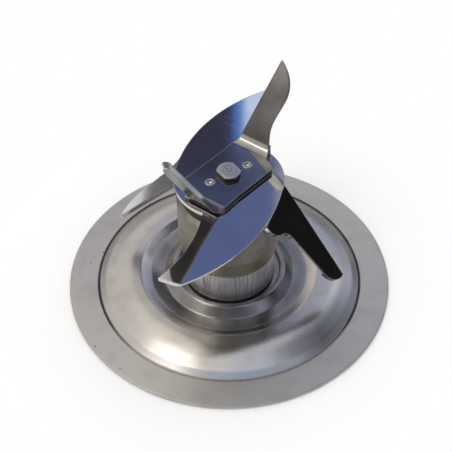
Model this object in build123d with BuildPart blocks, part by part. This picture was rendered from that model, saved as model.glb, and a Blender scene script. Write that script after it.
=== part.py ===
from build123d import *
import math
import os

os.makedirs("parts", exist_ok=True)

# Blender blade assembly, in millimetres. The origin is the centre of the rim's underside,
# +Z points up the spindle and +X runs along the plate of the upper blade.

# Base flange, a pressed steel sheet. Radii step outwards from the post, heights up from the rim.
flange_diameter = 82.0
flange_sheet = 0.8
rim_width = 7.8
rim_groove_depth = 0.25
rim_groove_width = 0.5
dome_wall_run = 1.6
dome_wall_rise = 1.1
dome_rise = 2.1
dome_crown = 1.0
ridge_run = 2.4
valley_drop = 1.3
valley_width = 3.4
collar_run = 2.4
lip_rise = 2.1
lip_width = 1.2
seat_drop = 1.8
collar_gap = 1.5
rim_edge_break = 0.15
press_round = 0.5
shoulder_round = 2.0
ridge_round = 1.2

# Bearing housing, the turned post that stands in the flange
housing_diameter = 23.0
housing_length = 25.2
shoulder_width = 2.6
neck_wall = 1.3
neck_clearance = 0.15
foot_clearance = 0.2
housing_gasket_thickness = 0.8
housing_gasket_inset = 0.2
housing_nut_height = 1.5
housing_nut_wall = 2.1
lock_washer_thickness = 0.5
thread_clearance = 0.05
edge_break = 0.3

# Drawn sleeve over the top of the housing
sleeve_wall = 0.95
sleeve_length = 16.3
sleeve_skirt_height = 4.1
sleeve_skirt_wall = 0.45
sleeve_shoulder = 0.9
sleeve_hole_diameter = 12.4
sleeve_clearance = 0.05

# Spindle with its bushings, felt and seal
spindle_diameter = 8.0
running_clearance = 0.05
press_clearance = 0.02
end_play = 0.3
bushing_wall = 2.45
lower_bushing_length = 4.9
upper_bushing_length = 6.0
felt_clearance = 0.1
seal_pocket_wall = 2.5
seal_height = 2.7
seal_wall = 1.2
seal_lip_height = 0.9
seal_pocket_depth = 3.0

# Drive coupling on the lower end of the spindle
coupling_height = 8.7
coupling_bottom = 0.5
coupling_clearance = 0.6
socket_width = 6.5
socket_depth = 6.2
coupling_pin_diameter = 1.8
coupling_pin_drop = 1.3
thrust_washer_thickness = 0.6
thrust_washer_inset = 0.8

# Collar that the blades are clamped on
blade_collar_diameter = 14.0
blade_collar_height = 2.2
upper_washer_thickness = 0.5

# Double-D tang of the spindle, its peened head and the two locating rivets
tang_diameter = 4.8
tang_flats = 3.9
tang_skew = -12.0
head_diameter = 5.9
head_flats = 4.9
head_height = 1.2
head_round = 0.3
key_clearance = 0.05
rivet_diameter = 2.0
rivet_circle_radius = 5.26
rivet_angle = -13.9
rivet_recess = 0.15
rivet_dimple_depth = 0.3

# Blade sheets and the ground cutting edges
upper_sheet = 1.2
leaf_sheet = 1.0
lower_sheet = 1.0
grind_width = 0.9
grind_land = 0.4
grind_overrun = 0.2
trim_margin = 6.0

# Upper blade, a straight plate with a sickle folded up at each end
upper_half_width = 6.65
upper_flare_start = 4.0
upper_corner_taper = 0.7
upper_corner_round = 2.0
upper_fold_distance = 11.2
upper_fold_angle = 6.0
upper_bend = 62.4
upper_fold_radius = 3.0
sickle_height = 22.1
sickle_tip = -0.4
sickle_tip_angle = 145.0
sickle_belly = 3.8
sickle_belly_height = 14.6
sickle_waist = 2.2
sickle_waist_height = 5.4
sickle_root = 2.9
sickle_root_angle = 104.0
sickle_flare = 4.2
sickle_flare_angle = -55.0
sickle_back = -6.0
sickle_heel = -5.3

# Leaf blade, two flat scimitar lobes off one round hub, set out in polar form
leaf_hub_diameter = 26.2
leaf_notch_angle = 15.4
leaf_hub_angle = -66.0
leaf_belly_radius = 21.95
leaf_belly_angle = -126.4
leaf_tip_radius = 34.6
leaf_tip_lead_angle = -154.6
leaf_tip_back_angle = -163.6
leaf_hollow_radius = 24.3
leaf_hollow_angle = -159.8

# Lower blade, a plate with a broad finger folded down at each end
lower_fold_inset = 0.84
lower_fold_angle = -64.4
lower_bend = -50.4
lower_fold_radius = 2.0
finger_length = 28.1
finger_lead = 7.0
finger_tip_fall = 5.9
finger_back_tip = 1.9
finger_back_base = -3.8
finger_shoulder = 9.4
finger_shoulder_run = 2.2
finger_shoulder_fall = 3.5
finger_lobe = 10.9

# Heights and radii that follow from the sizes above
flange_radius = flange_diameter / 2
housing_radius = housing_diameter / 2
collar_inner_radius = housing_radius + collar_gap
lip_radius = collar_inner_radius + lip_width
collar_foot_radius = lip_radius + collar_run
valley_radius = collar_foot_radius + valley_width
ridge_radius = valley_radius + ridge_run
rim_inner_radius = flange_radius - rim_width
dome_foot_radius = rim_inner_radius - dome_wall_run
dome_foot_height = flange_sheet + dome_wall_rise
ridge_height = dome_foot_height + dome_rise
valley_height = ridge_height - valley_drop
lip_height = valley_height + lip_rise
seat_height = lip_height - seat_drop
dome_run = dome_foot_radius - ridge_radius
crown_round = dome_run**2 / (8 * dome_crown)
neck_radius = housing_radius - shoulder_width
neck_hole_radius = neck_radius + neck_clearance
thread_bore_radius = neck_radius + thread_clearance

housing_bottom = seat_height + housing_gasket_thickness
housing_top = housing_bottom + housing_length
neck_bottom = foot_clearance
sleeve_top = housing_top + sleeve_wall
sleeve_bottom = sleeve_top - sleeve_length
sleeve_bore_radius = housing_radius + sleeve_clearance
sleeve_radius = sleeve_bore_radius + sleeve_wall
lower_fold_distance = sleeve_radius - lower_fold_inset

spindle_radius = spindle_diameter / 2
running_bore_radius = spindle_radius + running_clearance
coupling_top = coupling_bottom + coupling_height
thrust_washer_top = coupling_top + thrust_washer_thickness
bearing_bottom = thrust_washer_top + end_play
seal_bottom = housing_top - seal_pocket_depth
coupling_bore_radius = neck_radius - neck_wall
coupling_radius = coupling_bore_radius - coupling_clearance
thrust_washer_radius = coupling_radius - thrust_washer_inset
bushing_radius = running_bore_radius + bushing_wall
bushing_bore_radius = bushing_radius + press_clearance
seal_bore_radius = housing_radius - seal_pocket_wall
seal_radius = seal_bore_radius - press_clearance

upper_washer_bottom = sleeve_top + end_play
collar_bottom = upper_washer_bottom + upper_washer_thickness
blade_seat = collar_bottom + blade_collar_height
leaf_bottom = blade_seat + lower_sheet
upper_bottom = leaf_bottom + leaf_sheet
upper_top = upper_bottom + upper_sheet
socket_roof = coupling_bottom + socket_depth
coupling_pin_height = coupling_top - coupling_pin_drop


def ring(inner_radius, outer_radius, bottom, top):
    """Draw the half section of a plain ring, ready to revolve about Z."""
    with Locations((inner_radius, bottom)):
        Rectangle(outer_radius - inner_radius, top - bottom, align=(Align.MIN, Align.MIN))


def polar(radius, angle):
    """Point in plan at a radius and an angle from +X."""
    return Vector(radius, 0, 0).rotate(Axis.Z, angle)


def double_d(diameter, flats):
    """Draw a round with two parallel flats, turned to the skew of the spindle's tang."""
    with BuildSketch(mode=Mode.PRIVATE) as outline:
        Circle(diameter / 2)
        Rectangle(flats, diameter, mode=Mode.INTERSECT)
    add(outline.sketch, rotation=tang_skew)


def clamp_holes():
    """Cut the keyed hole and the two rivet holes that all three blades share."""
    with BuildSketch(mode=Mode.PRIVATE) as holes:
        double_d(tang_diameter + 2 * key_clearance, tang_flats + 2 * key_clearance)
        with PolarLocations(rivet_circle_radius, 2, start_angle=rivet_angle):
            Circle(rivet_diameter / 2 + key_clearance)
    add(holes.sketch, mode=Mode.SUBTRACT)


def fold_setback(bend, inner_radius, sheet):
    """Distance on the top face from the sharp fold line back to where the bend starts."""
    top_radius = inner_radius if bend > 0 else inner_radius + sheet
    return top_radius * math.tan(math.radians(abs(bend)) / 2)


def fold_point(distance, angle, along):
    """Point in plan on a line square to the given direction, a length along it clockwise."""
    return polar(distance, angle) + polar(along, angle - 90)


def bent_wing(top, sheet, fold_distance, fold_angle, bend, inner_radius, outline, cutting_edge):
    """Bend a strip up or down from the plate's fold, trim it to an outline and grind its edge.

    The outline is drawn on the wing's top face: X runs along the fold towards the cutting edge,
    Y runs up the slope from the sharp fold line. The cutting edge is a stretch of that outline,
    drawn from the fold towards the tip.
    """
    out = polar(1, fold_angle)
    along = polar(1, fold_angle - 90)
    box = outline.bounding_box()
    setback = fold_setback(bend, inner_radius, sheet)
    bend_start = out * (fold_distance - setback) + Vector(0, 0, top)
    turn = 1 if bend > 0 else -1
    centre_rise = inner_radius if bend > 0 else -inner_radius - sheet
    bend_axis = Axis(bend_start + Vector(0, 0, centre_rise), along * turn)
    slope_normal = Vector(0, 0, 1).rotate(Axis((0, 0, 0), along), bend)
    slope = Plane(out * fold_distance + Vector(0, 0, top), x_dir=along, z_dir=slope_normal)
    with BuildPart() as wing:
        with BuildSketch(Plane(bend_start, x_dir=along, z_dir=out)):
            with Locations((box.min.X, 0)):
                Rectangle(box.size.X, sheet, align=(Align.MIN, Align.MIN))
        revolve(axis=bend_axis, revolution_arc=abs(bend))
        with BuildSketch(slope):
            with Locations((box.min.X, setback)):
                Rectangle(box.size.X, box.max.Y - setback, align=(Align.MIN, Align.MIN))
        extrude(amount=-sheet)
        with BuildSketch(slope):
            add(outline)
        extrude(amount=box.size.X, both=True, mode=Mode.INTERSECT)
        path = slope.location * cutting_edge
        inward = slope.z_dir.cross(path % 0)
        grind_rise = (sheet - grind_land) * grind_overrun / grind_width
        with BuildSketch(Plane(path @ 0, x_dir=inward, z_dir=path % 0)):
            with BuildLine():
                Polyline(
                    (grind_width + grind_overrun, -sheet - grind_rise),
                    (-grind_overrun, -sheet - grind_rise),
                    (-grind_overrun, grind_rise - grind_land),
                    close=True,
                )
            make_face()
        sweep(path=path, mode=Mode.SUBTRACT)
    return wing.part


# Base flange: flat rim, coined groove, gently crowned dome, valley and raised collar round the post
with BuildPart() as base_flange:
    with BuildSketch(Plane.XZ):
        with BuildLine():
            crown_radius = (dome_foot_radius + ridge_radius) / 2
            crown_height = (dome_foot_height + ridge_height) / 2 + dome_crown
            FilletPolyline(
                (flange_radius, flange_sheet),
                (rim_inner_radius, flange_sheet),
                (dome_foot_radius, dome_foot_height),
                (crown_radius, crown_height),
                (ridge_radius, ridge_height),
                (valley_radius, valley_height),
                (collar_foot_radius - collar_run / 4, valley_height),
                radius=(press_round, shoulder_round, crown_round, ridge_round, press_round),
            )
            offset(amount=flange_sheet, side=Side.LEFT)
        make_face()
        with BuildLine():
            FilletPolyline(
                (collar_foot_radius, valley_height),
                (lip_radius, lip_height),
                (collar_inner_radius, lip_height),
                (collar_inner_radius, seat_height),
                (neck_hole_radius, seat_height),
                (neck_hole_radius, seat_height - flange_sheet),
                (collar_inner_radius + flange_sheet, seat_height - flange_sheet),
                (collar_inner_radius + flange_sheet, seat_height),
                (collar_foot_radius, valley_height - flange_sheet),
                radius=(0, press_round, lip_width / 3, 0, 0, 0, 0, 0, 0),
                close=True,
            )
        make_face()
        with BuildLine():
            Polyline(
                (rim_inner_radius + rim_groove_width, flange_sheet),
                (rim_inner_radius + rim_groove_width / 2, flange_sheet - rim_groove_depth),
                (rim_inner_radius, flange_sheet),
                close=True,
            )
        make_face(mode=Mode.SUBTRACT)
    revolve(axis=Axis.Z)
    rim_edges = base_flange.edges().filter_by(GeomType.CIRCLE).group_by(SortBy.LENGTH)[-1]
    chamfer(rim_edges, rim_edge_break)
base_flange.part.label = "base_flange"
export_step(base_flange.part, "parts/base_flange.step")

# Flat rubber ring that seals the housing's shoulder on the flange seat
with BuildPart() as housing_gasket:
    with BuildSketch(Plane.XZ):
        ring(neck_hole_radius, housing_radius - housing_gasket_inset, seat_height, housing_bottom)
    revolve(axis=Axis.Z)
housing_gasket.part.label = "housing_gasket"
export_step(housing_gasket.part, "parts/housing_gasket.step")

# Bearing housing: turned barrel with a threaded neck, stepped through for coupling, bushings and seal
with BuildPart() as bearing_housing:
    with BuildSketch(Plane.XZ):
        ring(0, neck_radius, neck_bottom, housing_bottom)
        ring(0, housing_radius, housing_bottom, housing_top)
    revolve(axis=Axis.Z)
    chamfer(bearing_housing.edges().filter_by(GeomType.CIRCLE).sort_by(Axis.Z)[-1], edge_break)
    with BuildSketch(Plane.XZ):
        ring(0, coupling_bore_radius, neck_bottom, bearing_bottom)
        ring(0, bushing_bore_radius, bearing_bottom, seal_bottom)
        ring(0, seal_bore_radius, seal_bottom, housing_top)
    revolve(axis=Axis.Z, mode=Mode.SUBTRACT)
bearing_housing.part.label = "bearing_housing"
export_step(bearing_housing.part, "parts/bearing_housing.step")

# Spring washer between the flange and the housing nut
lock_washer_top = seat_height - flange_sheet
lock_washer_bottom = lock_washer_top - lock_washer_thickness
with BuildPart() as lock_washer:
    with BuildSketch(Plane.XZ):
        ring(thread_bore_radius, housing_radius, lock_washer_bottom, lock_washer_top)
    revolve(axis=Axis.Z)
lock_washer.part.label = "lock_washer"
export_step(lock_washer.part, "parts/lock_washer.step")

# Thin hexagon nut that pulls the housing down on the flange
with BuildPart() as housing_nut:
    with BuildSketch(Plane.XY.offset(lock_washer_bottom - housing_nut_height)):
        RegularPolygon(thread_bore_radius + housing_nut_wall, 6, major_radius=False)
        Circle(thread_bore_radius, mode=Mode.SUBTRACT)
    extrude(amount=housing_nut_height)
housing_nut.part.label = "housing_nut"
export_step(housing_nut.part, "parts/housing_nut.step")

# Drawn sleeve: a cap over the housing, with a turned-in skirt, a shouldered top and a spindle hole
with BuildPart() as housing_sleeve:
    with BuildSketch(Plane.XZ):
        with BuildLine():
            Polyline(
                (sleeve_bore_radius, sleeve_bottom),
                (sleeve_bore_radius + sleeve_skirt_wall, sleeve_bottom),
                (sleeve_radius, sleeve_bottom + sleeve_skirt_height),
                (sleeve_radius, sleeve_top - sleeve_shoulder),
                (sleeve_radius - sleeve_shoulder, sleeve_top),
                (sleeve_hole_diameter / 2, sleeve_top),
                (sleeve_hole_diameter / 2, housing_top),
                (sleeve_bore_radius, housing_top),
                close=True,
            )
        make_face()
    revolve(axis=Axis.Z)
housing_sleeve.part.label = "housing_sleeve"
export_step(housing_sleeve.part, "parts/housing_sleeve.step")

# Sintered bushings with an oil felt between them
lower_bushing_top = bearing_bottom + lower_bushing_length
upper_bushing_bottom = seal_bottom - upper_bushing_length
with BuildPart() as lower_bushing:
    with BuildSketch(Plane.XZ):
        ring(running_bore_radius, bushing_radius, bearing_bottom, lower_bushing_top)
    revolve(axis=Axis.Z)
lower_bushing.part.label = "lower_bushing"
export_step(lower_bushing.part, "parts/lower_bushing.step")

with BuildPart() as upper_bushing:
    with BuildSketch(Plane.XZ):
        ring(running_bore_radius, bushing_radius, upper_bushing_bottom, seal_bottom)
    revolve(axis=Axis.Z)
upper_bushing.part.label = "upper_bushing"
export_step(upper_bushing.part, "parts/upper_bushing.step")

with BuildPart() as oil_felt:
    with BuildSketch(Plane.XZ):
        ring(spindle_radius + felt_clearance, bushing_radius, lower_bushing_top, upper_bushing_bottom)
    revolve(axis=Axis.Z)
oil_felt.part.label = "oil_felt"
export_step(oil_felt.part, "parts/oil_felt.step")

# Rubber lip seal: outer band, web and an upright lip that rides on the spindle
with BuildPart() as shaft_seal:
    with BuildSketch(Plane.XZ):
        ring(seal_radius - seal_wall, seal_radius, seal_bottom, seal_bottom + seal_height)
        ring(running_bore_radius, seal_radius, seal_bottom, seal_bottom + seal_lip_height)
        with BuildLine():
            Polyline(
                (running_bore_radius + seal_wall, seal_bottom),
                (running_bore_radius + seal_wall, seal_bottom + seal_lip_height),
                (running_bore_radius + seal_wall / 2, seal_bottom + seal_height),
                (running_bore_radius, seal_bottom + seal_height),
                (running_bore_radius, seal_bottom),
                close=True,
            )
        make_face()
    revolve(axis=Axis.Z)
shaft_seal.part.label = "shaft_seal"
export_step(shaft_seal.part, "parts/shaft_seal.step")

# Spindle: plain journal, double-D tang for the blades and a head peened over them
with BuildPart() as spindle:
    with BuildSketch(Plane.XY.offset(socket_roof)):
        Circle(spindle_radius)
    extrude(amount=blade_seat - socket_roof)
    with BuildSketch(Plane.XY.offset(blade_seat)):
        double_d(tang_diameter, tang_flats)
    extrude(amount=upper_top - blade_seat)
    with BuildSketch(Plane.XY.offset(upper_top)):
        double_d(head_diameter, head_flats)
    extrude(amount=head_height)
    fillet(spindle.faces().sort_by(Axis.Z)[-1].edges(), head_round)
    with Locations(Plane.YZ.offset(-spindle_radius)):
        with Locations((0, coupling_pin_height)):
            Cylinder(
                coupling_pin_diameter / 2 + press_clearance,
                spindle_diameter,
                align=(Align.CENTER, Align.CENTER, Align.MIN),
                mode=Mode.SUBTRACT,
            )
spindle.part.label = "spindle"
export_step(spindle.part, "parts/spindle.step")

# Drive coupling: round hub with a square socket that takes the motor's drive stud from below
with BuildPart() as drive_coupling:
    with BuildSketch(Plane.XZ):
        ring(0, coupling_radius, coupling_bottom, coupling_top)
    revolve(axis=Axis.Z)
    chamfer(drive_coupling.edges().filter_by(GeomType.CIRCLE), edge_break)
    with BuildSketch(Plane.XY.offset(coupling_bottom)):
        Rectangle(socket_width, socket_width)
    extrude(amount=socket_depth, mode=Mode.SUBTRACT)
    with BuildSketch(Plane.XY.offset(socket_roof)):
        Circle(spindle_radius + press_clearance)
    extrude(amount=coupling_top - socket_roof, mode=Mode.SUBTRACT)
    with Locations(Plane.YZ.offset(-coupling_radius)):
        with Locations((0, coupling_pin_height)):
            Cylinder(
                coupling_pin_diameter / 2 + press_clearance,
                2 * coupling_radius,
                align=(Align.CENTER, Align.CENTER, Align.MIN),
                mode=Mode.SUBTRACT,
            )
drive_coupling.part.label = "drive_coupling"
export_step(drive_coupling.part, "parts/drive_coupling.step")

# Cross pin that locks the coupling to the spindle
coupling_pin_length = 2 * (coupling_radius - edge_break)
with BuildPart() as coupling_pin:
    with BuildSketch(Plane.YZ.offset(-coupling_pin_length / 2)):
        with Locations((0, coupling_pin_height)):
            Circle(coupling_pin_diameter / 2)
    extrude(amount=coupling_pin_length)
coupling_pin.part.label = "coupling_pin"
export_step(coupling_pin.part, "parts/coupling_pin.step")

# Thrust washers above the coupling and above the sleeve, each riding on the spindle
with BuildPart() as lower_thrust_washer:
    with BuildSketch(Plane.XZ):
        ring(spindle_radius + press_clearance, thrust_washer_radius, coupling_top, thrust_washer_top)
    revolve(axis=Axis.Z)
lower_thrust_washer.part.label = "lower_thrust_washer"
export_step(lower_thrust_washer.part, "parts/lower_thrust_washer.step")

with BuildPart() as upper_thrust_washer:
    with BuildSketch(Plane.XZ):
        ring(spindle_radius + press_clearance, blade_collar_diameter / 2, upper_washer_bottom, collar_bottom)
    revolve(axis=Axis.Z)
upper_thrust_washer.part.label = "upper_thrust_washer"
export_step(upper_thrust_washer.part, "parts/upper_thrust_washer.step")

# Collar on the spindle's shoulder, the seat that the blade stack is clamped on
with BuildPart() as blade_collar:
    with BuildSketch(Plane.XZ):
        ring(spindle_radius + press_clearance, blade_collar_diameter / 2, collar_bottom, blade_seat)
    revolve(axis=Axis.Z)
blade_collar.part.label = "blade_collar"
export_step(blade_collar.part, "parts/blade_collar.step")

# Lower blade: skewed plate with a finger folded down at each end
lower_bend_start = lower_fold_distance - fold_setback(lower_bend, lower_fold_radius, lower_sheet)
with BuildSketch() as finger_outline:
    with BuildLine():
        finger_edge = Line((finger_lead, finger_shoulder), (finger_lead, finger_length - finger_tip_fall))
        finger_tip = TangentArc(finger_edge @ 1, (finger_back_tip, finger_length), tangent=finger_edge % 1)
        shoulder_end = (finger_lead + finger_shoulder_run, finger_shoulder - finger_shoulder_fall)
        shoulder = TangentArc(finger_edge @ 0, shoulder_end, tangent=(0, -1))
        lobe = TangentArc(shoulder @ 1, (finger_lobe, 0), tangent=shoulder % 1)
        Polyline(
            lobe @ 1,
            (finger_lobe, -trim_margin),
            (finger_back_base, -trim_margin),
            (finger_back_base, 0),
            finger_tip @ 1,
        )
    make_face()
lower_finger = bent_wing(
    leaf_bottom,
    lower_sheet,
    lower_fold_distance,
    lower_fold_angle,
    lower_bend,
    lower_fold_radius,
    finger_outline.sketch,
    finger_edge,
)
with BuildPart() as lower_blade:
    with BuildSketch(Plane.XY.offset(blade_seat)):
        with BuildLine():
            lower_lead = fold_point(lower_bend_start, lower_fold_angle, finger_lobe)
            lower_back = fold_point(lower_bend_start, lower_fold_angle, finger_back_base)
            Polyline(lower_lead, lower_back, -lower_lead, -lower_back, close=True)
        make_face()
        clamp_holes()
    extrude(amount=lower_sheet)
    with PolarLocations(0, 2):
        add(lower_finger)
lower_blade.part.label = "lower_blade"
export_step(lower_blade.part, "parts/lower_blade.step")

# Leaf blade: flat hub with two scimitar lobes, hollow behind and ground under the leading edge
with BuildPart() as leaf_blade:
    with BuildSketch(Plane.XY.offset(leaf_bottom)):
        with BuildLine():
            for turn in (0, 180):
                notch = polar(leaf_hub_diameter / 2, leaf_notch_angle + turn)
                hub_side = polar(leaf_hub_diameter / 2, (leaf_notch_angle + leaf_hub_angle) / 2 + turn)
                hub_end = polar(leaf_hub_diameter / 2, leaf_hub_angle + turn)
                belly = polar(leaf_belly_radius, leaf_belly_angle + turn)
                tip_lead = polar(leaf_tip_radius, leaf_tip_lead_angle + turn)
                tip_end = polar(leaf_tip_radius, (leaf_tip_lead_angle + leaf_tip_back_angle) / 2 + turn)
                tip_back = polar(leaf_tip_radius, leaf_tip_back_angle + turn)
                hollow = polar(leaf_hollow_radius, leaf_hollow_angle + turn)
                ThreePointArc(notch, hub_side, hub_end)
                ThreePointArc(hub_end, belly, tip_lead)
                ThreePointArc(tip_lead, tip_end, tip_back)
                ThreePointArc(tip_back, hollow, -notch)
        make_face()
        clamp_holes()
    extrude(amount=leaf_sheet)
    leaf_underside = leaf_blade.faces().sort_by(Axis.Z)[0]
    belly_edges = leaf_underside.edges().filter_by(GeomType.CIRCLE).sort_by(SortBy.LENGTH)[-2:]
    chamfer(belly_edges, grind_width, leaf_sheet - grind_land, reference=leaf_underside)
leaf_blade.part.label = "leaf_blade"
export_step(leaf_blade.part, "parts/leaf_blade.step")

# Upper blade: straight plate with a sickle folded up at each end
upper_setback = fold_setback(upper_bend, upper_fold_radius, upper_sheet)
upper_bend_start = upper_fold_distance - upper_setback
with BuildSketch() as sickle_outline:
    with BuildLine():
        sickle_edge = Spline(
            (sickle_root, upper_setback),
            (sickle_waist, sickle_waist_height),
            (sickle_belly, sickle_belly_height),
            (sickle_tip, sickle_height),
            tangents=(polar(1, sickle_root_angle), polar(1, sickle_tip_angle)),
        )
        flare_foot = (sickle_flare, -upper_setback * math.cos(math.radians(upper_bend)))
        flare = Spline(
            sickle_edge @ 0,
            flare_foot,
            tangents=(polar(-1, sickle_root_angle), polar(1, sickle_flare_angle)),
        )
        Polyline(
            flare @ 1,
            (sickle_flare, -trim_margin),
            (sickle_back, -trim_margin),
            (sickle_back, flare_foot[1]),
            (sickle_heel, 0),
            sickle_edge @ 1,
        )
    make_face()
upper_sickle = bent_wing(
    upper_top,
    upper_sheet,
    upper_fold_distance,
    upper_fold_angle,
    upper_bend,
    upper_fold_radius,
    sickle_outline.sketch,
    sickle_edge,
)
with BuildPart() as upper_blade:
    with BuildSketch(Plane.XY.offset(upper_bottom)):
        with BuildLine():
            upper_lead = fold_point(upper_bend_start, upper_fold_angle, sickle_flare)
            upper_back = fold_point(upper_bend_start, upper_fold_angle, sickle_back)
            upper_corner = Vector(upper_lead.X - upper_corner_taper, -upper_half_width, 0)
            upper_edge = Vector(upper_flare_start, upper_half_width, 0)
            FilletPolyline(
                upper_back,
                upper_lead,
                upper_corner,
                -upper_edge,
                -upper_back,
                -upper_lead,
                -upper_corner,
                upper_edge,
                radius=(0, 0, upper_corner_round, 0, 0, 0, upper_corner_round, 0),
                close=True,
            )
        make_face()
        clamp_holes()
    extrude(amount=upper_sheet)
    with PolarLocations(0, 2):
        add(upper_sickle)
upper_blade.part.label = "upper_blade"
export_step(upper_blade.part, "parts/upper_blade.step")

# Two rivets that lock the three blades in line, set a little below the plate and punched
with BuildPart() as locating_rivets:
    with BuildSketch(Plane.XY.offset(blade_seat)):
        with PolarLocations(rivet_circle_radius, 2, start_angle=rivet_angle):
            Circle(rivet_diameter / 2)
    extrude(amount=upper_top - rivet_recess - blade_seat)
    with Locations(Plane.XY.offset(upper_top - rivet_recess)):
        with PolarLocations(rivet_circle_radius, 2, start_angle=rivet_angle):
            Cone(
                0,
                rivet_diameter / 4,
                rivet_dimple_depth,
                align=(Align.CENTER, Align.CENTER, Align.MAX),
                mode=Mode.SUBTRACT,
            )
locating_rivets.part.label = "locating_rivets"
export_step(locating_rivets.part, "parts/locating_rivets.step")
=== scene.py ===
import math

import bpy
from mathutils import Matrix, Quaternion, Vector


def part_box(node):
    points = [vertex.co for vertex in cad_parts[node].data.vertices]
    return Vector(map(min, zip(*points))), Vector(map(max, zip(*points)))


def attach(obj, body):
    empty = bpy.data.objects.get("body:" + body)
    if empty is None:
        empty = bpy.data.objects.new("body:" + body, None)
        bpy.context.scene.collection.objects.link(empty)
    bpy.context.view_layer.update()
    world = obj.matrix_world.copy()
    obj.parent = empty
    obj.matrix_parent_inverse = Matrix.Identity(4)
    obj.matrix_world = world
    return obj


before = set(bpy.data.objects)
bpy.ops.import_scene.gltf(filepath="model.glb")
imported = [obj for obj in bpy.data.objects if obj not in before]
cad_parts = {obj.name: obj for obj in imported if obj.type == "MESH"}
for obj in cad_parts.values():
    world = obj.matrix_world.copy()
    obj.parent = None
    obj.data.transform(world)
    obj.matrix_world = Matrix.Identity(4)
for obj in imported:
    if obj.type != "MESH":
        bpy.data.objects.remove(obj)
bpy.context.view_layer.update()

# Base flange. One disc of stainless sheet, pressed into a flat rim, a crowned dome, a valley and a raised
# collar round the post. Handling has left the rim satin and scratched. Painted shade darkens the valley
# round the post and the coined groove inside the rim; the groove's painted shade is lighter towards the
# camera.
mm = 0.001


class Reading:
    """One output socket of a node tree. Arithmetic on readings adds Math nodes to that tree."""

    def __init__(self, bench, socket):
        self.bench = bench
        self.socket = socket

    def other(self, output):
        """Another output of the same node."""
        return Reading(self.bench, self.socket.node.outputs[output])

    def __add__(self, term):
        return self.bench.maths("ADD", self, term)

    def __radd__(self, term):
        return self.bench.maths("ADD", term, self)

    def __sub__(self, term):
        return self.bench.maths("SUBTRACT", self, term)

    def __rsub__(self, term):
        return self.bench.maths("SUBTRACT", term, self)

    def __mul__(self, term):
        return self.bench.maths("MULTIPLY", self, term)

    def __rmul__(self, term):
        return self.bench.maths("MULTIPLY", term, self)

    def __truediv__(self, term):
        return self.bench.maths("DIVIDE", self, term)

    def __rtruediv__(self, term):
        return self.bench.maths("DIVIDE", term, self)


class Bench:
    """A node tree being wired up. node() adds any node to it."""

    def __init__(self, tree):
        self.tree = tree
        self.tree.nodes.clear()

    def node(self, kind, settings=None, sockets=None, output=0):
        """Add a node: its settings first, then its sockets' values or the readings linked to them."""
        made = self.tree.nodes.new(kind)
        for name, value in (settings or {}).items():
            setattr(made, name, value)
        for name, value in (sockets or {}).items():
            if isinstance(value, Reading):
                self.tree.links.new(value.socket, made.inputs[name])
            else:
                made.inputs[name].default_value = value
        return Reading(self, made.outputs[output]) if len(made.outputs) else None

    def maths(self, operation, *terms):
        """A Math node on readings and numbers."""
        return self.node("ShaderNodeMath", {"operation": operation}, dict(enumerate(terms)))

    def vector(self, operation, *terms, output="Vector"):
        """A Vector Math node on points and vectors."""
        return self.node("ShaderNodeVectorMath", {"operation": operation}, dict(enumerate(terms)), output)

    def point(self, **axes):
        """A point from its X, Y and Z, where an axis that isn't given is 0."""
        return self.node("ShaderNodeCombineXYZ", None, axes)

    def axes(self, point):
        """The X, Y and Z readings of a point."""
        first = self.node("ShaderNodeSeparateXYZ", None, {"Vector": point})
        return first, first.other("Y"), first.other("Z")


class Finish(Bench):
    """A surface finish: patterns over a piece, closed into a material by surface()."""

    def __init__(self, name):
        self.material = bpy.data.materials.new(name)
        self.material.use_nodes = True
        super().__init__(self.material.node_tree)

    def place(self):
        """The point on the piece, in metres from the part's origin."""
        return self.node("ShaderNodeTexCoord", output="Object")

    def step(self, reading, low, high):
        """A soft step from 0 at low to 1 at high; where low is above high, it falls."""
        edges = {"Value": reading, "From Min": low, "From Max": high}
        return self.node("ShaderNodeMapRange", {"interpolation_type": "SMOOTHSTEP"}, edges)

    def noise(self, point, scale, detail=2.0):
        """Cloudy grain between 0 and 1."""
        return self.node("ShaderNodeTexNoise", None, {"Vector": point, "Scale": scale, "Detail": detail})

    def drawn_noise(self, point, scales, detail=2.0):
        """Grain with its own scale along X, Y and Z, which draws it out into streaks or rings."""
        return self.noise(self.vector("MULTIPLY", point, scales), 1.0, detail)

    def tint(self, factor, first, second):
        """The first colour, turning into the second where the factor is 1."""
        colours = {"Factor": factor, 6: first, 7: second}
        return self.node("ShaderNodeMix", {"data_type": "RGBA"}, colours, 2)

    def surface(self, colour, roughness, relief=None, depth=0.0, edge=0.0, metallic=1.0, turned=0.0):
        """Close the finish, with a relief of this depth and with edges rounded to this radius.

        A turned finish has fine rings about the spindle, which spread reflections across the rings.
        """
        sockets = {"Base Color": colour, "Roughness": roughness, "Metallic": metallic}
        if turned:
            sockets.update({"Anisotropic": turned, "Anisotropic Rotation": 0.25})
        if edge:
            sockets["Normal"] = self.node("ShaderNodeBevel", {"samples": 6}, {"Radius": edge})
        if relief is not None:
            bump = {"Height": relief, "Distance": depth, "Strength": 1.0}
            if edge:
                bump["Normal"] = sockets["Normal"]
            sockets["Normal"] = self.node("ShaderNodeBump", None, bump)
        shader = self.node("ShaderNodeBsdfPrincipled", None, sockets)
        self.node("ShaderNodeOutputMaterial", None, {"Surface": shader})
        return self.material


def scratches(finish, point, turn, fineness, length, share, blur=0.03):
    """Straight hairline scratches at one turn about Z: a mask that is 1 on the lines."""
    stretch = {"Vector": point, "Rotation": (0, 0, math.radians(turn)), "Scale": (fineness, length, length)}
    lines = finish.noise(finish.node("ShaderNodeMapping", None, stretch), 1.0, 1.0)
    return finish.step(lines, 1 - share, 1 - share + blur)


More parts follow.
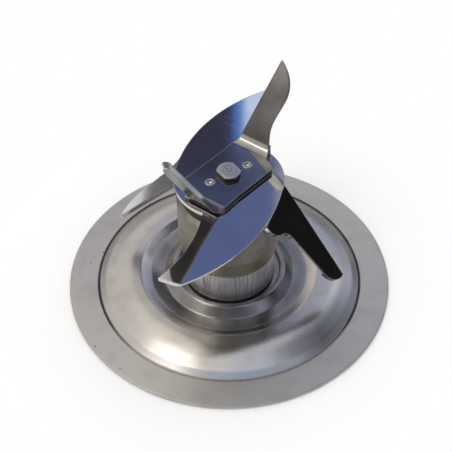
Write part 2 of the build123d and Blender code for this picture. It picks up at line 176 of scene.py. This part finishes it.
def specks(finish, point, spacing, size, share, blur=0.02):
    """Scattered small round specks: a mask that is 1 on them, with this share of the cells marked."""
    cells = finish.node("ShaderNodeTexVoronoi", None, {"Vector": point, "Scale": 1 / spacing}, "Distance")
    mark = finish.axes(cells.other("Color"))[0]
    chosen = finish.step(mark, 1 - share, 1 - share + blur)
    return chosen * (1 - finish.step(cells, 0.5 * size / spacing, size / spacing))


def dress(node, material):
    """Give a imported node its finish."""
    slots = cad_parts[node].data.materials
    slots.clear()
    slots.append(material)


rim_width = 7.8 * mm
rim_blur = 0.4 * mm
ridge_radius = 22.4 * mm
valley_shade_start = 0.3 * mm
valley_shade_full = 4.2 * mm
groove_width = 0.65 * mm
groove_blur = 0.18 * mm
# The flange's side that faces the camera, where the groove's painted shade fades.
camera_side = (-0.737, -0.676, 0)
flange_edge = 0.7 * mm
flange_relief_depth = 0.012 * mm
flange_turning = 0.55
rim_satin = 0.52
dome_polish = 0.23
ring_fineness = 5000
ring_wander = 3
# Each set of hairlines has its turn in degrees, its fineness, its length and its share of the surface.
rim_hairlines = ((24, 5200, 170, 0.29), (-52, 4400, 150, 0.29), (78, 6000, 190, 0.28))
steel_clean = (0.64, 0.625, 0.61, 1)
steel_worn = (0.47, 0.455, 0.45, 1)
fresh_scratch = (0.86, 0.85, 0.84, 1)
# Painted shade for the valley round the post, under the blades.
valley_painted_shade = (0.17, 0.165, 0.168, 1)
speck_brown = (0.20, 0.17, 0.15, 1)
# Painted shade for the coined groove inside the rim.
groove_painted_shade = (0.075, 0.07, 0.075, 1)
groove_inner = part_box("base_flange")[1].x - rim_width
groove_outer = groove_inner + groove_width

pressed_steel = Finish("pressed_steel")
spot = pressed_steel.place()
spot_x, spot_y, _ = pressed_steel.axes(spot)
flat_spot = pressed_steel.point(X=spot_x, Y=spot_y)
radius = pressed_steel.vector("LENGTH", flat_spot, output="Value")
on_rim = pressed_steel.step(radius, groove_inner - rim_blur, groove_inner + rim_blur)
in_valley = pressed_steel.step(radius, ridge_radius + rim_blur, ridge_radius - rim_blur)
lay = pressed_steel.noise(spot, scale=900, detail=3.0)
cloud = pressed_steel.noise(spot, scale=160, detail=4.0)
ring_spot = pressed_steel.point(
    X=spot_x / radius * ring_wander, Y=spot_y / radius * ring_wander, Z=radius * ring_fineness
)
turning = pressed_steel.noise(ring_spot, scale=1.0)
hairlines = sum(scratches(pressed_steel, spot, *line_set) for line_set in rim_hairlines)
pits = specks(pressed_steel, spot, spacing=3.4 * mm, size=0.3 * mm, share=0.3) * on_rim
pits = pits + specks(pressed_steel, spot, spacing=5.5 * mm, size=0.34 * mm, share=0.3)
stain = pressed_steel.step(cloud, 0.45, 0.75)
# Painted shade: this mask is 1 inside the ridge, towards the post, and its colour darkens the valley in
# clouds.
film = pressed_steel.step(radius, ridge_radius - valley_shade_start, ridge_radius - valley_shade_full)
# Painted shade in the coined groove: full away from the camera, fading on the side that faces it.
past_inner = pressed_steel.step(radius, groove_inner - groove_blur, groove_inner + groove_blur)
before_outer = pressed_steel.step(radius, groove_outer + groove_blur, groove_outer - groove_blur)
facing_camera = pressed_steel.vector("DOT_PRODUCT", flat_spot, camera_side, output="Value") / radius
away_from_camera = 1 - pressed_steel.step(facing_camera, 0.35, 0.85) * 0.8
steel_colour = pressed_steel.tint(stain * 0.45, steel_clean, steel_worn)
steel_colour = pressed_steel.tint(hairlines * on_rim * 0.3, steel_colour, fresh_scratch)
# Painted shade darkens the valley, cloudy.
steel_colour = pressed_steel.tint(film * (0.35 + cloud * 0.6), steel_colour, valley_painted_shade)
steel_colour = pressed_steel.tint(pits * 0.8, steel_colour, speck_brown)
# Painted shade in the groove, cloudy and lighter towards the camera.
groove_shade_mask = past_inner * before_outer * (0.75 + cloud * 0.5) * away_from_camera
steel_colour = pressed_steel.tint(groove_shade_mask, steel_colour, groove_painted_shade)
rim_roughness = rim_satin + lay * 0.03 - hairlines * 0.06
dome_roughness = dome_polish + cloud * 0.06 + hairlines * 0.04 - in_valley * 0.05
flange_roughness = dome_roughness + (rim_roughness - dome_roughness) * on_rim
flange_relief = lay * 0.04 + turning * 0.08 * on_rim + cloud * 0.7 - hairlines * 0.06 - pits * 0.4
dress(
    "base_flange",
    pressed_steel.surface(
        steel_colour,
        flange_roughness,
        flange_relief,
        flange_relief_depth,
        flange_edge,
        turned=flange_turning,
    ),
)

# Housing gasket. A flat black rubber ring, squeezed between the housing's shoulder and the flange seat;
# only its outer edge shows, deep in the gap round the post.
rubber_black = (0.018, 0.018, 0.019, 1)
rubber_bloom = (0.06, 0.058, 0.055, 1)
rubber_relief_depth = 0.03 * mm
rubber = Finish("sealing_rubber")
rubber_grain = rubber.noise(rubber.place(), scale=900, detail=4.0)
rubber_colour = rubber.tint(rubber.step(rubber_grain, 0.45, 0.8), rubber_black, rubber_bloom)
rubber_roughness = 0.5 + rubber_grain * 0.25
sealing_rubber = rubber.surface(
    rubber_colour, rubber_roughness, rubber_grain, rubber_relief_depth, metallic=0.0
)
dress("housing_gasket", sealing_rubber)

# Bearing housing. A steel barrel turned on a lathe and pushed up through the flange. Fitting the sleeve has
# scored its lower band with upright streaks, and painted shade darkens it just below the sleeve's skirt.
skirt_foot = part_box("housing_sleeve")[0].z
shade_depth = 1.3 * mm
shade_blur = 0.3 * mm
score_depth = 0.03 * mm
housing_clean = (0.93, 0.93, 0.94, 1)
housing_dull = (0.54, 0.525, 0.515, 1)
# Painted shade under the sleeve's skirt.
skirt_shade = (0.36, 0.345, 0.335, 1)
scored_steel = Finish("scored_steel")
spot = scored_steel.place()
upright = scored_steel.drawn_noise(spot, (2600, 2600, 170))
broad = scored_steel.drawn_noise(spot, (420, 420, 60))
rings = scored_steel.drawn_noise(spot, (20, 20, 3600))
streaks = scored_steel.step(upright * 0.65 + broad * 0.35, 0.46, 0.66)
shade_foot = skirt_foot - shade_depth
# Painted shade just below the skirt, with a ragged lower edge.
ragged_height = scored_steel.axes(spot)[2] + broad * shade_blur
near_skirt = scored_steel.step(ragged_height, shade_foot, shade_foot + shade_blur)
housing_colour = scored_steel.tint(streaks, housing_clean, housing_dull)
housing_colour = scored_steel.tint(near_skirt * 0.85, housing_colour, skirt_shade)
housing_roughness = 0.42 + streaks * 0.16 + rings * 0.08
housing_relief = upright * 0.7 + rings * 0.3
scored_housing = scored_steel.surface(housing_colour, housing_roughness, housing_relief, score_depth)
dress("bearing_housing", scored_housing)

# Lock washer and thin hexagon nut under the flange. Both are stamped from plated steel and pull the housing
# down on its gasket.
plating_pale = (0.56, 0.57, 0.56, 1)
plating_grey = (0.36, 0.36, 0.37, 1)
mottle_depth = 0.02 * mm
plating_edge = 0.12 * mm
plating = Finish("plated_steel")
mottle = plating.noise(plating.place(), scale=700, detail=5.0)
plating_colour = plating.tint(plating.step(mottle, 0.35, 0.7), plating_pale, plating_grey)
plating_roughness = 0.26 + mottle * 0.2
plated_steel = plating.surface(plating_colour, plating_roughness, mottle, mottle_depth, plating_edge)
dress("lock_washer", plated_steel)
dress("housing_nut", plated_steel)

# Sleeve bushings. Sintered bronze, pressed into the housing above and below the oil felt; the open pores
# are what holds the oil.
bronze_bright = (0.47, 0.30, 0.15, 1)
bronze_pore = (0.14, 0.08, 0.04, 1)
pore_depth = 0.03 * mm
bronze = Finish("sintered_bronze")
pores = specks(bronze, bronze.place(), spacing=0.35 * mm, size=0.16 * mm, share=0.6)
bronze_grain = bronze.noise(bronze.place(), scale=1500, detail=4.0)
bronze_colour = bronze.tint(pores, bronze_bright, bronze_pore)
bronze_roughness = 0.34 + bronze_grain * 0.18
sintered_bronze = bronze.surface(bronze_colour, bronze_roughness, bronze_grain - pores, pore_depth)
dress("lower_bushing", sintered_bronze)
dress("upper_bushing", sintered_bronze)

# Oil felt. A ring of pressed wool, cut from sheet and soaked in oil. It sits between the two bushings and
# feeds them both.
felt_wool = (0.33, 0.27, 0.17, 1)
felt_oily = (0.14, 0.10, 0.05, 1)
fibre_depth = 0.1 * mm
felt = Finish("oiled_felt")
fibres = felt.drawn_noise(felt.place(), (2600, 2600, 900), detail=5.0)
felt_colour = felt.tint(fibres, felt_wool, felt_oily)
felt_roughness = 0.7 + fibres * 0.2
dress("oil_felt", felt.surface(felt_colour, felt_roughness, fibres, fibre_depth, metallic=0.0))

# Shaft seal. A moulded rubber lip seal, pressed into the top of the housing; its lip rides on the spindle
# and keeps liquid out of the upper bushing.
dress("shaft_seal", sealing_rubber)

# Housing sleeve. A cap of drawn stainless pressed over the housing, brushed round and round, with a
# turned-in skirt painted straw gold as a painted reflection of warm light.
skirt_height = 4.1 * mm
skirt_blur = 0.5 * mm
brush_depth = 0.02 * mm
sleeve_edge = 0.15 * mm
sleeve_turning = 0.8
sleeve_steel = (0.40, 0.375, 0.335, 1)
sleeve_shade = (0.27, 0.25, 0.22, 1)
# Painted reflection: a warm gold for the skirt.
painted_gold_reflection = (0.50, 0.41, 0.27, 1)
brushed_sleeve = Finish("brushed_sleeve")
spot = brushed_sleeve.place()
brushing = brushed_sleeve.drawn_noise(spot, (26, 26, 5200))
blotch = brushed_sleeve.noise(spot, scale=260, detail=4.0)
skirt_top = skirt_foot + skirt_height
spot_z = brushed_sleeve.axes(spot)[2]
above_skirt = brushed_sleeve.step(spot_z, skirt_top - skirt_blur, skirt_top + skirt_blur)
sleeve_colour = brushed_sleeve.tint(brushed_sleeve.step(blotch, 0.35, 0.75), sleeve_steel, sleeve_shade)
# Painted reflection: the skirt below the brushed cap is tinted gold, in blotches.
sleeve_colour = brushed_sleeve.tint((1 - above_skirt) * (0.55 + blotch * 0.4), sleeve_colour, painted_gold_reflection)
sleeve_roughness = 0.22 + brushing * 0.16
dress(
    "housing_sleeve",
    brushed_sleeve.surface(
        sleeve_colour, sleeve_roughness, brushing, brush_depth, sleeve_edge, turned=sleeve_turning
    ),
)

# Spindle. Ground steel, running in the bushings, with two flats that key the blades and a head peened over
# them; the peening tool has left a ring of punch marks on the head, and the head's side is darkened.
head_depth = 1.2 * mm
head_radius = 2.9 * mm
head_crown = 2.6
spindle_edge = 0.15 * mm
spindle_relief_depth = 0.06 * mm
dark_band_start = 0.3 * mm
dark_band_blur = 0.15 * mm
punch_circle = 1.15 * mm
punch_size = 0.42 * mm
punch_floor = 0.2 * punch_size
punch_count = 6
ground_pale = (0.58, 0.58, 0.59, 1)
head_grey = (0.42, 0.415, 0.43, 1)
head_side_dark = (0.035, 0.035, 0.04, 1)
spindle_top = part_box("spindle")[1].z
head_foot = spindle_top - head_depth
dark_band_top = spindle_top - dark_band_start
peened_spindle = Finish("peened_spindle")
spot = peened_spindle.place()
spot_x, spot_y, spot_z = peened_spindle.axes(spot)
on_head = peened_spindle.step(spot_z, head_foot, spindle_top - 0.5 * head_depth)
grinding = peened_spindle.drawn_noise(spot, (40, 40, 7000))
peening = peened_spindle.noise(spot, scale=900, detail=3.0)
punch_places = [(0, 0, spindle_top)]
for mark in range(punch_count):
    bearing = 2 * math.pi * mark / punch_count
    punch_places.append((punch_circle * math.cos(bearing), punch_circle * math.sin(bearing), spindle_top))
punched = sum(
    peened_spindle.step(
        peened_spindle.vector("DISTANCE", spot, punch_place, output="Value"), punch_size, punch_floor
    )
    for punch_place in punch_places
)
crown = (spot_x * spot_x + spot_y * spot_y) * (-head_crown / head_radius**2)
# The head's side is darkened nearly black, from its foot up to just under its top.
below_edge = peened_spindle.step(spot_z + peening * dark_band_blur, dark_band_top, dark_band_top - dark_band_blur)
above_plate = peened_spindle.step(spot_z, head_foot - dark_band_blur, head_foot)
spindle_colour = peened_spindle.tint(on_head, ground_pale, head_grey)
spindle_colour = peened_spindle.tint(below_edge * above_plate * 0.9, spindle_colour, head_side_dark)
spindle_roughness = 0.14 + grinding * 0.08 + on_head * peening * 0.1
spindle_relief = grinding * 0.1 + on_head * (crown + peening * 0.5 - punched * 0.5)
dress(
    "spindle",
    peened_spindle.surface(
        spindle_colour, spindle_roughness, spindle_relief, spindle_relief_depth, spindle_edge
    ),
)

# Drive coupling with its cross pin. A hub of moulded black nylon with a square socket for the motor's stud,
# held on the spindle by a hardened steel pin.
nylon_black = (0.022, 0.022, 0.023, 1)
nylon_rubbed = (0.085, 0.083, 0.08, 1)
nylon_relief_depth = 0.03 * mm
nylon_edge = 0.15 * mm
nylon = Finish("moulded_nylon")
nylon_grain = nylon.noise(nylon.place(), scale=1200, detail=4.0)
rubbed = nylon.step(nylon.noise(nylon.place(), scale=260, detail=3.0), 0.5, 0.75)
nylon_colour = nylon.tint(rubbed, nylon_black, nylon_rubbed)
nylon_roughness = 0.38 + nylon_grain * 0.2
moulded_nylon = nylon.surface(
    nylon_colour, nylon_roughness, nylon_grain, nylon_relief_depth, nylon_edge, metallic=0.0
)
dress("drive_coupling", moulded_nylon)
dress("coupling_pin", plated_steel)

# Thrust washers. Hard-wearing stamped rings that take the spindle's end play, one on the coupling and one
# under the blade collar.
washer_pale = (0.50, 0.47, 0.42, 1)
washer_worn = (0.30, 0.27, 0.23, 1)
wear_depth = 0.02 * mm
washer = Finish("worn_washer")
wear = washer.drawn_noise(washer.place(), (300, 300, 4000), detail=3.0)
washer_colour = washer.tint(wear, washer_pale, washer_worn)
washer_roughness = 0.25 + wear * 0.2
worn_washer = washer.surface(washer_colour, washer_roughness, wear, wear_depth)
dress("lower_thrust_washer", worn_washer)
dress("upper_thrust_washer", worn_washer)

# Blade collar. A turned steel seat on the spindle's shoulder. The peened head clamps the three blades down
# on it.
dress("blade_collar", worn_washer)

# The three blades. Hardened stainless strip, mirror polished, then blanked, folded and ground to an edge on
# one side; use has left hairlines, a thin film and a few specks of dried residue.
blade_hairlines = ((33, 6200, 130, 0.27), (-41, 5400, 160, 0.27))
blade_relief_depth = 0.004 * mm
blade_edge = 0.18 * mm
bend_edge = 0.5 * mm
plate_sheet = 1.2 * mm
plate_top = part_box("upper_blade")[0].z + plate_sheet
shade_fade = 0.5 * mm
blade_steel = (0.62, 0.615, 0.61, 1)
blade_film = (0.33, 0.325, 0.325, 1)
# Painted shade for the plate's flat face.
plate_painted_shade = (0.15, 0.145, 0.15, 1)
residue = (0.75, 0.73, 0.70, 1)


def polished_blade(name, roughness, film, edge=blade_edge, shaded_below=None):
    """A mirror-polished blade finish with hairlines, a share of film and specks of residue.

    Below the height given last, where one is given, the colour is darkened as painted shade, which dims the
    face's reflection.
    """
    finish = Finish(name)
    point = finish.place()
    haze = finish.noise(point, scale=110, detail=3.0)
    lines = sum(scratches(finish, point, *line_set) for line_set in blade_hairlines)
    dots = specks(finish, point, spacing=2.2 * mm, size=0.13 * mm, share=0.16)
    colour = finish.tint(finish.step(haze, 0.2, 0.7) * film, blade_steel, blade_film)
    if shaded_below is not None:
        # Painted shade: below the given height the colour darkens, so the flat face reflects darker than
        # the bends rising from it.
        below_bends = finish.step(finish.axes(point)[2], shaded_below + shade_fade, shaded_below)
        colour = finish.tint(below_bends * (0.35 + haze * 0.35), colour, plate_painted_shade)
    colour = finish.tint(dots * 0.7, colour, residue)
    polish = roughness + haze * roughness + lines * 0.05 + dots * 0.4
    return finish.surface(colour, polish, haze * 0.6 - lines * 0.1, blade_relief_depth, edge)


dress("lower_blade", polished_blade("finger_polish", roughness=0.09, film=0.9))
dress("leaf_blade", polished_blade("leaf_polish", roughness=0.035, film=0.2))
# The upper blade's flat face, up to its top, gets painted shade.
plate_polish = polished_blade("plate_polish", roughness=0.075, film=0.9, edge=bend_edge, shaded_below=plate_top)
dress("upper_blade", plate_polish)

# Locating rivets. Two steel pins that lock the blades in line, set below the plate's face and spread by a
# punch, each with a thin burr rolled up round its edge.
rivet_circle = 5.26 * mm
rivet_bearing = -13.9
rivet_count = 2
rivet_recess = 0.15 * mm
dent_depth = 0.05 * mm
burr_radius = 1.0 * mm
burr_wire = 0.16 * mm
burr_sides = 40
wire_sides = 8
rivet_steel = (0.64, 0.63, 0.62, 1)
rivet_grey = (0.45, 0.44, 0.44, 1)
rivet = Finish("punched_rivet")
dents = rivet.noise(rivet.place(), scale=2200, detail=3.0)
rivet_colour = rivet.tint(dents, rivet_steel, rivet_grey)
rivet_roughness = 0.12 + dents * 0.14
punched_rivet = rivet.surface(rivet_colour, rivet_roughness, dents, dent_depth)
dress("locating_rivets", punched_rivet)

burr_sizes = {
    "Circle": rivet_circle,
    "Bearing": math.radians(rivet_bearing),
    "Seat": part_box("locating_rivets")[1].z + rivet_recess,
    "Burr Radius": burr_radius,
    "Wire Radius": burr_wire,
}
burr_tree = bpy.data.node_groups.new("rivet_burrs", "GeometryNodeTree")
burr_tree.interface.new_socket("Geometry", in_out="OUTPUT", socket_type="NodeSocketGeometry")
burr_inputs = {
    name: burr_tree.interface.new_socket(name, in_out="INPUT", socket_type="NodeSocketFloat")
    for name in burr_sizes
}
burrs = Bench(burr_tree)
sizes = burrs.node("NodeGroupInput")
near_rivet = burrs.point(X=sizes.other("Circle"))
far_rivet = burrs.vector("MULTIPLY", near_rivet, (-1, -1, -1))
rivet_pair = burrs.node(
    "GeometryNodeMeshLine",
    {"mode": "END_POINTS"},
    {"Start Location": far_rivet, "Offset": near_rivet, "Count": rivet_count},
)
rivet_turn = burrs.point(Z=sizes.other("Bearing"))
rivet_rise = burrs.point(Z=sizes.other("Seat"))
rivet_places = burrs.node(
    "GeometryNodeTransform",
    None,
    {"Geometry": rivet_pair, "Rotation": rivet_turn, "Translation": rivet_rise},
)
burr_line, burr_section = (
    burrs.node("GeometryNodeCurvePrimitiveCircle", None, {"Radius": sizes.other(size), "Resolution": sides})
    for size, sides in (("Burr Radius", burr_sides), ("Wire Radius", wire_sides))
)
burr_rim = burrs.node("GeometryNodeCurveToMesh", None, {"Curve": burr_line, "Profile Curve": burr_section})
burr_copies = burrs.node(
    "GeometryNodeInstanceOnPoints", None, {"Points": rivet_places, "Instance": burr_rim}
)
burr_mesh = burrs.node("GeometryNodeRealizeInstances", None, {"Geometry": burr_copies})
burr_steel = burrs.node("GeometryNodeSetMaterial", None, {"Geometry": burr_mesh, "Material": punched_rivet})
burrs.node("NodeGroupOutput", None, {"Geometry": burr_steel})
burr_carrier = bpy.data.objects.new("burr_carrier", bpy.data.meshes.new("burr_carrier"))
bpy.context.scene.collection.objects.link(burr_carrier)
burr_modifier = burr_carrier.modifiers.new("rivet_burrs", "NODES")
burr_modifier.node_group = burr_tree
for name, size in burr_sizes.items():
    burr_modifier[burr_inputs[name].identifier] = size
evaluated = burr_carrier.evaluated_get(bpy.context.evaluated_depsgraph_get())
rivet_burrs = bpy.data.objects.new("rivet_burrs", bpy.data.meshes.new_from_object(evaluated))
for face in rivet_burrs.data.polygons:
    face.use_smooth = True
bpy.data.objects.remove(burr_carrier)
bpy.context.scene.collection.objects.link(rivet_burrs)
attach(rivet_burrs, "rotor")

# Camera. It stands at the photograph's viewing angle, about 26 cm from the part's origin.
camera_place = Vector((-0.12735, -0.11572, 0.19581))
camera_view = Vector((0.5137, 0.4707, -0.7173))
camera_roll = 0.357
focal_length = 79.94
sensor_width = 36.0
clip_start = 0.01
camera_data = bpy.data.cameras.new("photo_camera")
camera_data.lens = focal_length
camera_data.sensor_width = sensor_width
camera_data.clip_start = clip_start
camera = bpy.data.objects.new("photo_camera", camera_data)
camera.location = camera_place
roll = Quaternion((0, 0, 1), math.radians(-camera_roll))
camera.rotation_mode = "QUATERNION"
camera.rotation_quaternion = camera_view.to_track_quat("-Z", "Y") @ roll
bpy.context.scene.collection.objects.link(camera)
bpy.context.scene.camera = camera

# Floor. A round sheet of plain white paper, lit evenly so that only the soft shadow under the rim shows.
floor_radius = 0.065
floor_drop = 0.05 * mm
floor_sides = 96
paper_roughness = 0.9
paper_white = (0.97, 0.97, 0.97, 1)
paper_shade = (0.95, 0.95, 0.95, 1)
floor_turns = [2 * math.pi * side / floor_sides for side in range(floor_sides)]
floor_mesh = bpy.data.meshes.new("floor")
floor_mesh.from_pydata(
    [(floor_radius * math.cos(turn), floor_radius * math.sin(turn), -floor_drop) for turn in floor_turns],
    [],
    [range(floor_sides)],
)
floor = bpy.data.objects.new("floor", floor_mesh)
bpy.context.scene.collection.objects.link(floor)
paper = Finish("white_paper")
paper_grain = paper.noise(paper.place(), scale=400, detail=3.0)
paper_colour = paper.tint(paper_grain, paper_white, paper_shade)
floor_mesh.materials.append(paper.surface(paper_colour, paper_roughness, metallic=0.0))

# Light tent. A sphere of glowing cloth round the set, which shows only in the steel's reflections. It is
# warm over the left and cool over the right, with a blue opening at the back and darker cloth at the right,
# low down and behind the camera.
tent_radius = 2.5
tent_segments = 64
tent_rings = 32
away = Vector((0.737, 0.676, 0))
aside = Vector((0.676, -0.737, 0))
warm_white = (1.0, 0.93, 0.81, 1)
pale_grey = (0.74, 0.70, 0.67, 1)
cool_grey = (0.45, 0.475, 0.60, 1)
cool_white = (0.70, 0.71, 0.76, 1)
mid_blue = (0.14, 0.187, 0.40, 1)
navy = (0.055, 0.055, 0.10, 1)
azure = (0.09, 0.26, 0.80, 1)
sky_white = (0.82, 0.97, 1.28, 1)
side_glow = (1.0, 1.0, 1.05, 1)
front_blue = (0.55, 0.73, 1.02, 1)
wing_grey = (0.17, 0.18, 0.22, 1)
brown_cloth = (0.10, 0.095, 0.09, 1)
black_cloth = (0.012, 0.011, 0.011, 1)
behind_grey = (0.13, 0.128, 0.13, 1)
low_grey = (0.26, 0.255, 0.26, 1)
ground_grey = (0.20, 0.20, 0.205, 1)
floor_glow = (0.60, 0.67, 0.74, 1)
bpy.ops.mesh.primitive_uv_sphere_add(segments=tent_segments, ring_count=tent_rings, radius=tent_radius)
tent = bpy.context.object
tent.name = "light_tent"
tent.visible_camera = False
tent.visible_diffuse = False
tent.visible_shadow = False
cloth = Finish("tent_cloth")
ray = cloth.vector("NORMALIZE", cloth.place())
side = cloth.vector("DOT_PRODUCT", ray, tuple(aside), output="Value")
depth = cloth.vector("DOT_PRODUCT", ray, tuple(away), output="Value")
rise = cloth.axes(ray)[2]
turn = cloth.maths("ARCTAN2", side, depth) * (180 / math.pi)
climb = cloth.maths("ARCSINE", rise) * (180 / math.pi)


def patch(under, colour, left, right, low, high, soft):
    """A soft-edged patch sewn over the cloth under it, between two turns and two climbs in degrees."""
    across = cloth.step(turn, left - soft, left + soft) * (1 - cloth.step(turn, right - soft, right + soft))
    above = cloth.step(climb, low - soft, low + soft)
    below = 1 - cloth.step(climb, high - soft, high + soft)
    return cloth.tint(across * above * below, under, colour)


right_half = cloth.step(turn, 0.6, 1.3)
low_down = 1 - cloth.step(climb, 6, 20)
underneath = cloth.step(climb, -4, -18)
over_left = cloth.step(side, 0.015, -0.02) * cloth.step(rise, 0.72, 0.9)
over_right = cloth.step(side, -0.01, 0.03) * cloth.step(side, 0.5, 0.25) * cloth.step(climb, 54, 62)
over_camera = cloth.step(depth, -0.25, -0.4) * cloth.step(climb, 54, 60)
behind_camera = cloth.step(depth, -0.45, -0.65) * cloth.step(climb, 56, 50)
low_cloth = patch(low_grey, brown_cloth, left=-146, right=-92, low=-24, high=24, soft=8)
low_cloth = patch(low_cloth, black_cloth, left=44, right=88, low=-20, high=24, soft=6)
low_cloth = patch(low_cloth, brown_cloth, left=18, right=40, low=-2, high=40, soft=6)
tent_colour = cloth.tint(right_half, pale_grey, cool_grey)
tent_colour = cloth.tint(over_left, tent_colour, warm_white)
tent_colour = cloth.tint(over_right, tent_colour, cool_white)
tent_colour = patch(tent_colour, mid_blue, left=-5.5, right=4.5, low=34, high=51, soft=0.6)
tent_colour = patch(tent_colour, navy, left=-5.5, right=0.9, low=34, high=44, soft=0.5)
tent_colour = patch(tent_colour, azure, left=0.7, right=4.5, low=34, high=41.5, soft=0.4)
tent_colour = patch(tent_colour, sky_white, left=1.5, right=4.5, low=34, high=41.5, soft=0.4)
tent_colour = patch(tent_colour, side_glow, left=36, right=48, low=33, high=50, soft=2)
tent_colour = patch(tent_colour, wing_grey, left=58, right=112, low=20, high=72, soft=8)
tent_colour = patch(tent_colour, black_cloth, left=76, right=96, low=38, high=54, soft=4)
tent_colour = cloth.tint(over_camera, tent_colour, front_blue)
tent_colour = cloth.tint(behind_camera, tent_colour, behind_grey)
tent_colour = cloth.tint(low_down, tent_colour, low_cloth)
tent_colour = cloth.tint(underneath, tent_colour, ground_grey)
tent_colour = patch(tent_colour, floor_glow, left=80, right=112, low=-42, high=-20, soft=3)
glow = cloth.node("ShaderNodeEmission", None, {"Color": tent_colour, "Strength": 1.0})
cloth.node("ShaderNodeOutputMaterial", None, {"Surface": glow})
cloth.material.cycles.emission_sampling = "NONE"
tent.data.materials.append(cloth.material)

# Light. A plain white room, and one soft lamp high on the left. The room's level is what it gives the part;
# the camera and the steel see the room white at any level.
room_white = (1, 1, 1, 1)
room_level = 1.0
key_left = 0.55
key_front = 0.25
key_height = 1.0
key_size = 0.45
key_power = 1.4
key_colour = (1.0, 0.95, 0.88)
world = bpy.data.worlds.new("white_room")
world.use_nodes = True
bpy.context.scene.world = world
room = Bench(world.node_tree)
seen_by_camera = room.node("ShaderNodeLightPath", output="Is Camera Ray")
seen = seen_by_camera
for ray_kind in ("Is Glossy Ray", "Is Transmission Ray"):
    seen = room.maths("MAXIMUM", seen, seen_by_camera.other(ray_kind))
room_strength = room_level + (1 - room_level) * seen
room_light = room.node("ShaderNodeBackground", None, {"Color": room_white, "Strength": room_strength})
room.node("ShaderNodeOutputWorld", None, {"Surface": room_light})
key_data = bpy.data.lights.new("key_lamp", "AREA")
key_data.size = key_size
key_data.energy = key_power
key_data.color = key_colour
key_place = aside * -key_left + away * -key_front + Vector((0, 0, key_height))
key = bpy.data.objects.new("key_lamp", key_data)
key.location = key_place
key.rotation_mode = "QUATERNION"
key.rotation_quaternion = (-key_place).to_track_quat("-Z", "Y")
bpy.context.scene.collection.objects.link(key)

bpy.context.scene.view_settings.view_transform = "Standard"
